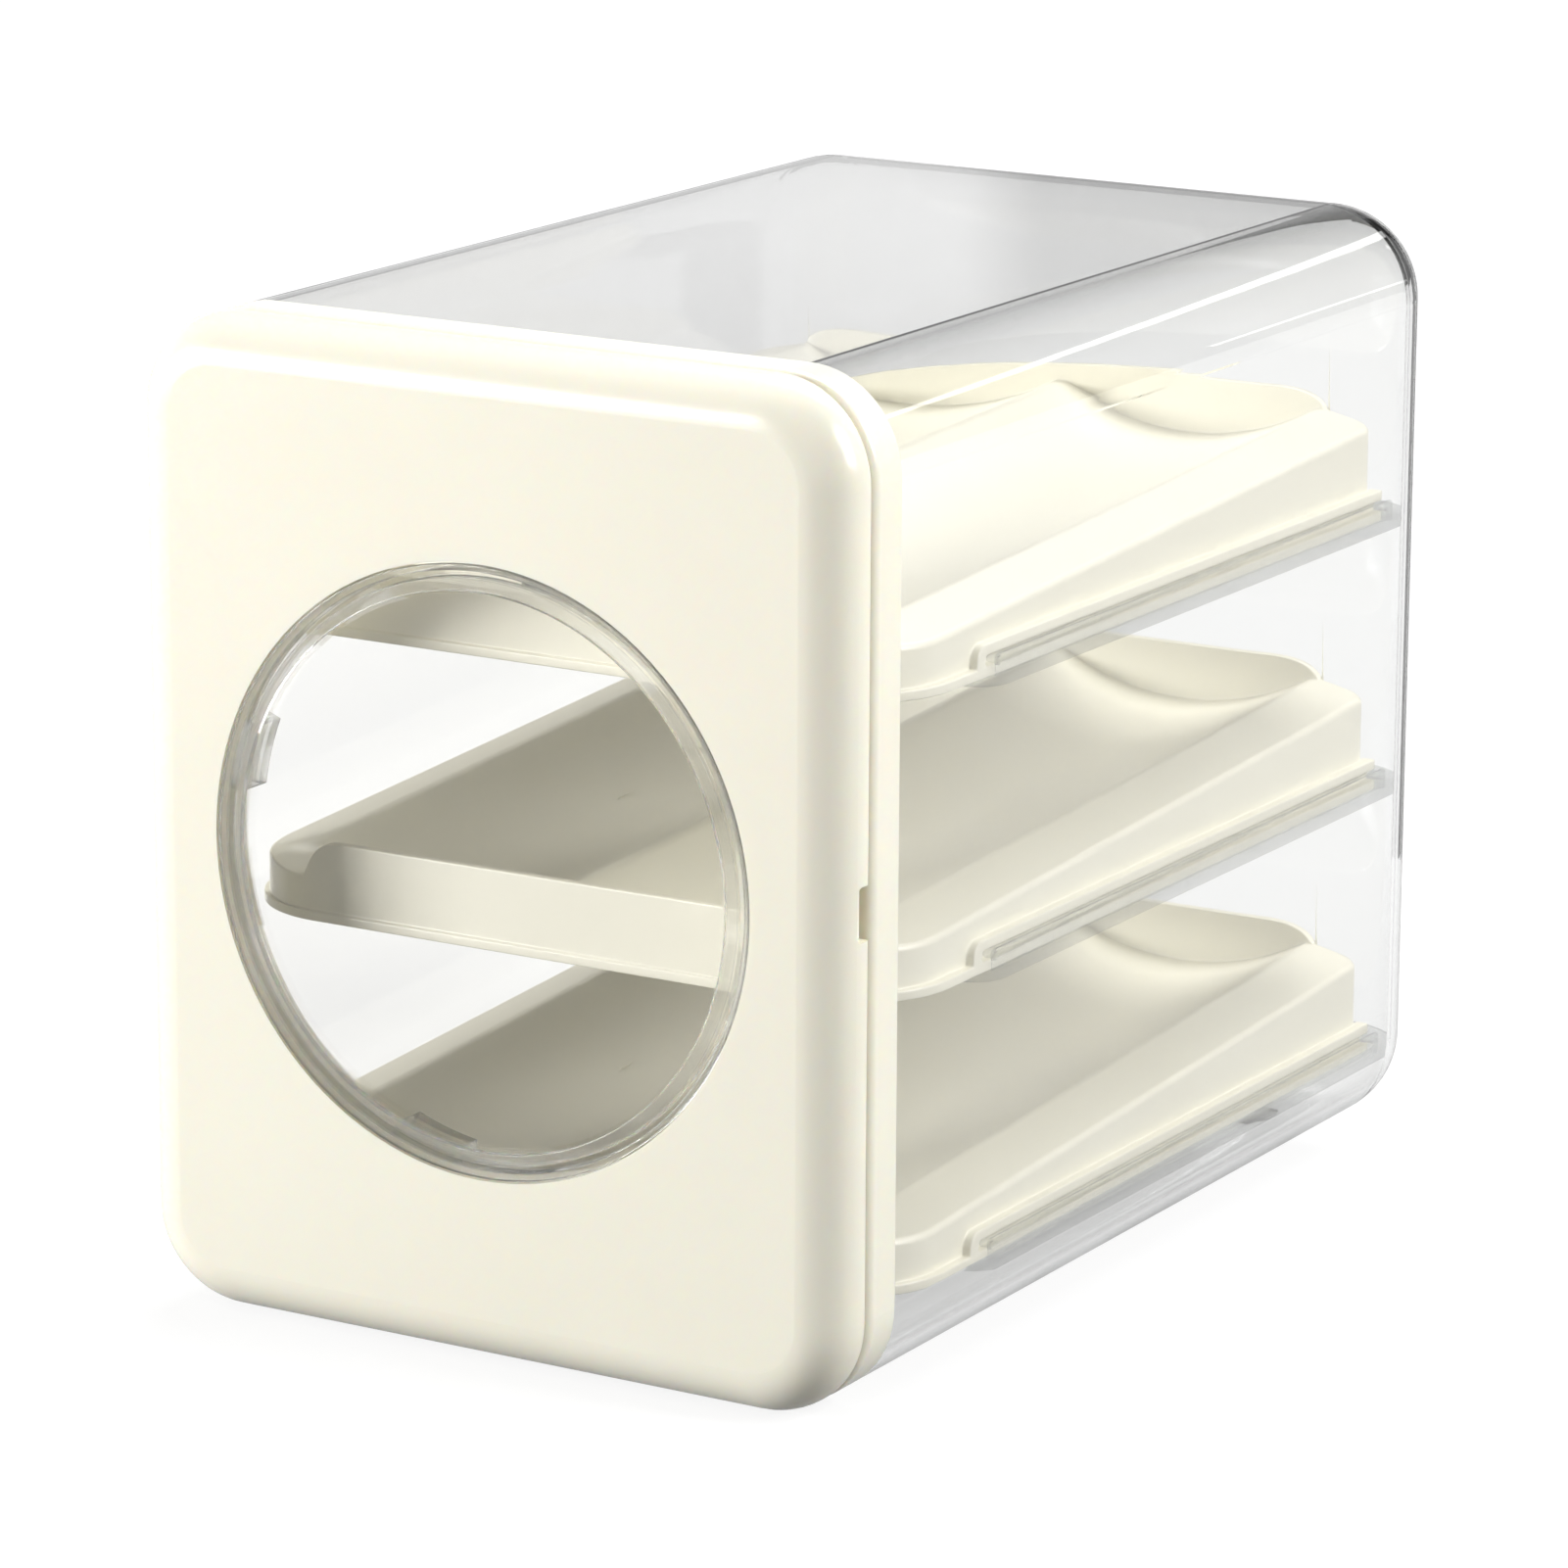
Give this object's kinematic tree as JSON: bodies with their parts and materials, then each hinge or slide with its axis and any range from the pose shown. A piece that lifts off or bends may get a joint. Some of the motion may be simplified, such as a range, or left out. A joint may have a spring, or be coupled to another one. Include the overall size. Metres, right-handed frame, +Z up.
{
  "type": "egg dispenser",
  "caption": "Clear egg keeper with a hinged front door, round window and sloping slide-out trays that roll eggs to the front.",
  "frame": {"origin": "centre of the base, on the surface the box stands on", "axes": "+Z up, -Y towards the door, +X to the right as seen from the front"},
  "size_m": [0.17, 0.268, 0.213],
  "materials": {
    "clear_plastic": "clear, polished",
    "clear_lens": "clear, polished",
    "cream_plastic": "satin",
    "tray_plastic": "satin",
    "pin_steel": "bright drawn wire",
    "foot_pad": "soft, matt"
  },
  "bodies": {
    "case": {"shell": "clear_plastic", "shelf_lower": "clear_plastic", "shelf_middle": "clear_plastic", "shelf_upper": "clear_plastic", "front_frame": "cream_plastic", "hinge_pin_lower": "pin_steel", "hinge_pin_upper": "pin_steel", "foot_left_front": "foot_pad", "foot_left_rear": "foot_pad", "foot_right_front": "foot_pad", "foot_right_rear": "foot_pad"},
    "door": {"door_panel": "cream_plastic", "window_lens": "clear_lens"},
    "lower_tray": {"tray_lower": "tray_plastic"},
    "middle_tray": {"tray_middle": "tray_plastic"},
    "upper_tray": {"tray_upper": "tray_plastic"}
  },
  "joints": [
    {"name": "door_hinge", "type": "hinge", "parent": "case", "child": "door", "pos_m": [-0.0813, -0.1172, 0.107], "axis": [0, 0, -1], "range_deg": [0, 105]},
    {"name": "lower_tray_slide", "type": "slide", "parent": "case", "child": "lower_tray", "axis": [0, -1, 0], "range_m": [0, 0.12]},
    {"name": "middle_tray_slide", "type": "slide", "parent": "case", "child": "middle_tray", "axis": [0, -1, 0], "range_m": [0, 0.12]},
    {"name": "upper_tray_slide", "type": "slide", "parent": "case", "child": "upper_tray", "axis": [0, -1, 0], "range_m": [0, 0.12]}
  ],
  "couplings": [
    {"joint": "lower_tray_slide", "follows": "door_hinge", "m_per_rad": 0.03},
    {"joint": "middle_tray_slide", "follows": "door_hinge", "m_per_rad": 0.03},
    {"joint": "upper_tray_slide", "follows": "door_hinge", "m_per_rad": 0.03}
  ]
}
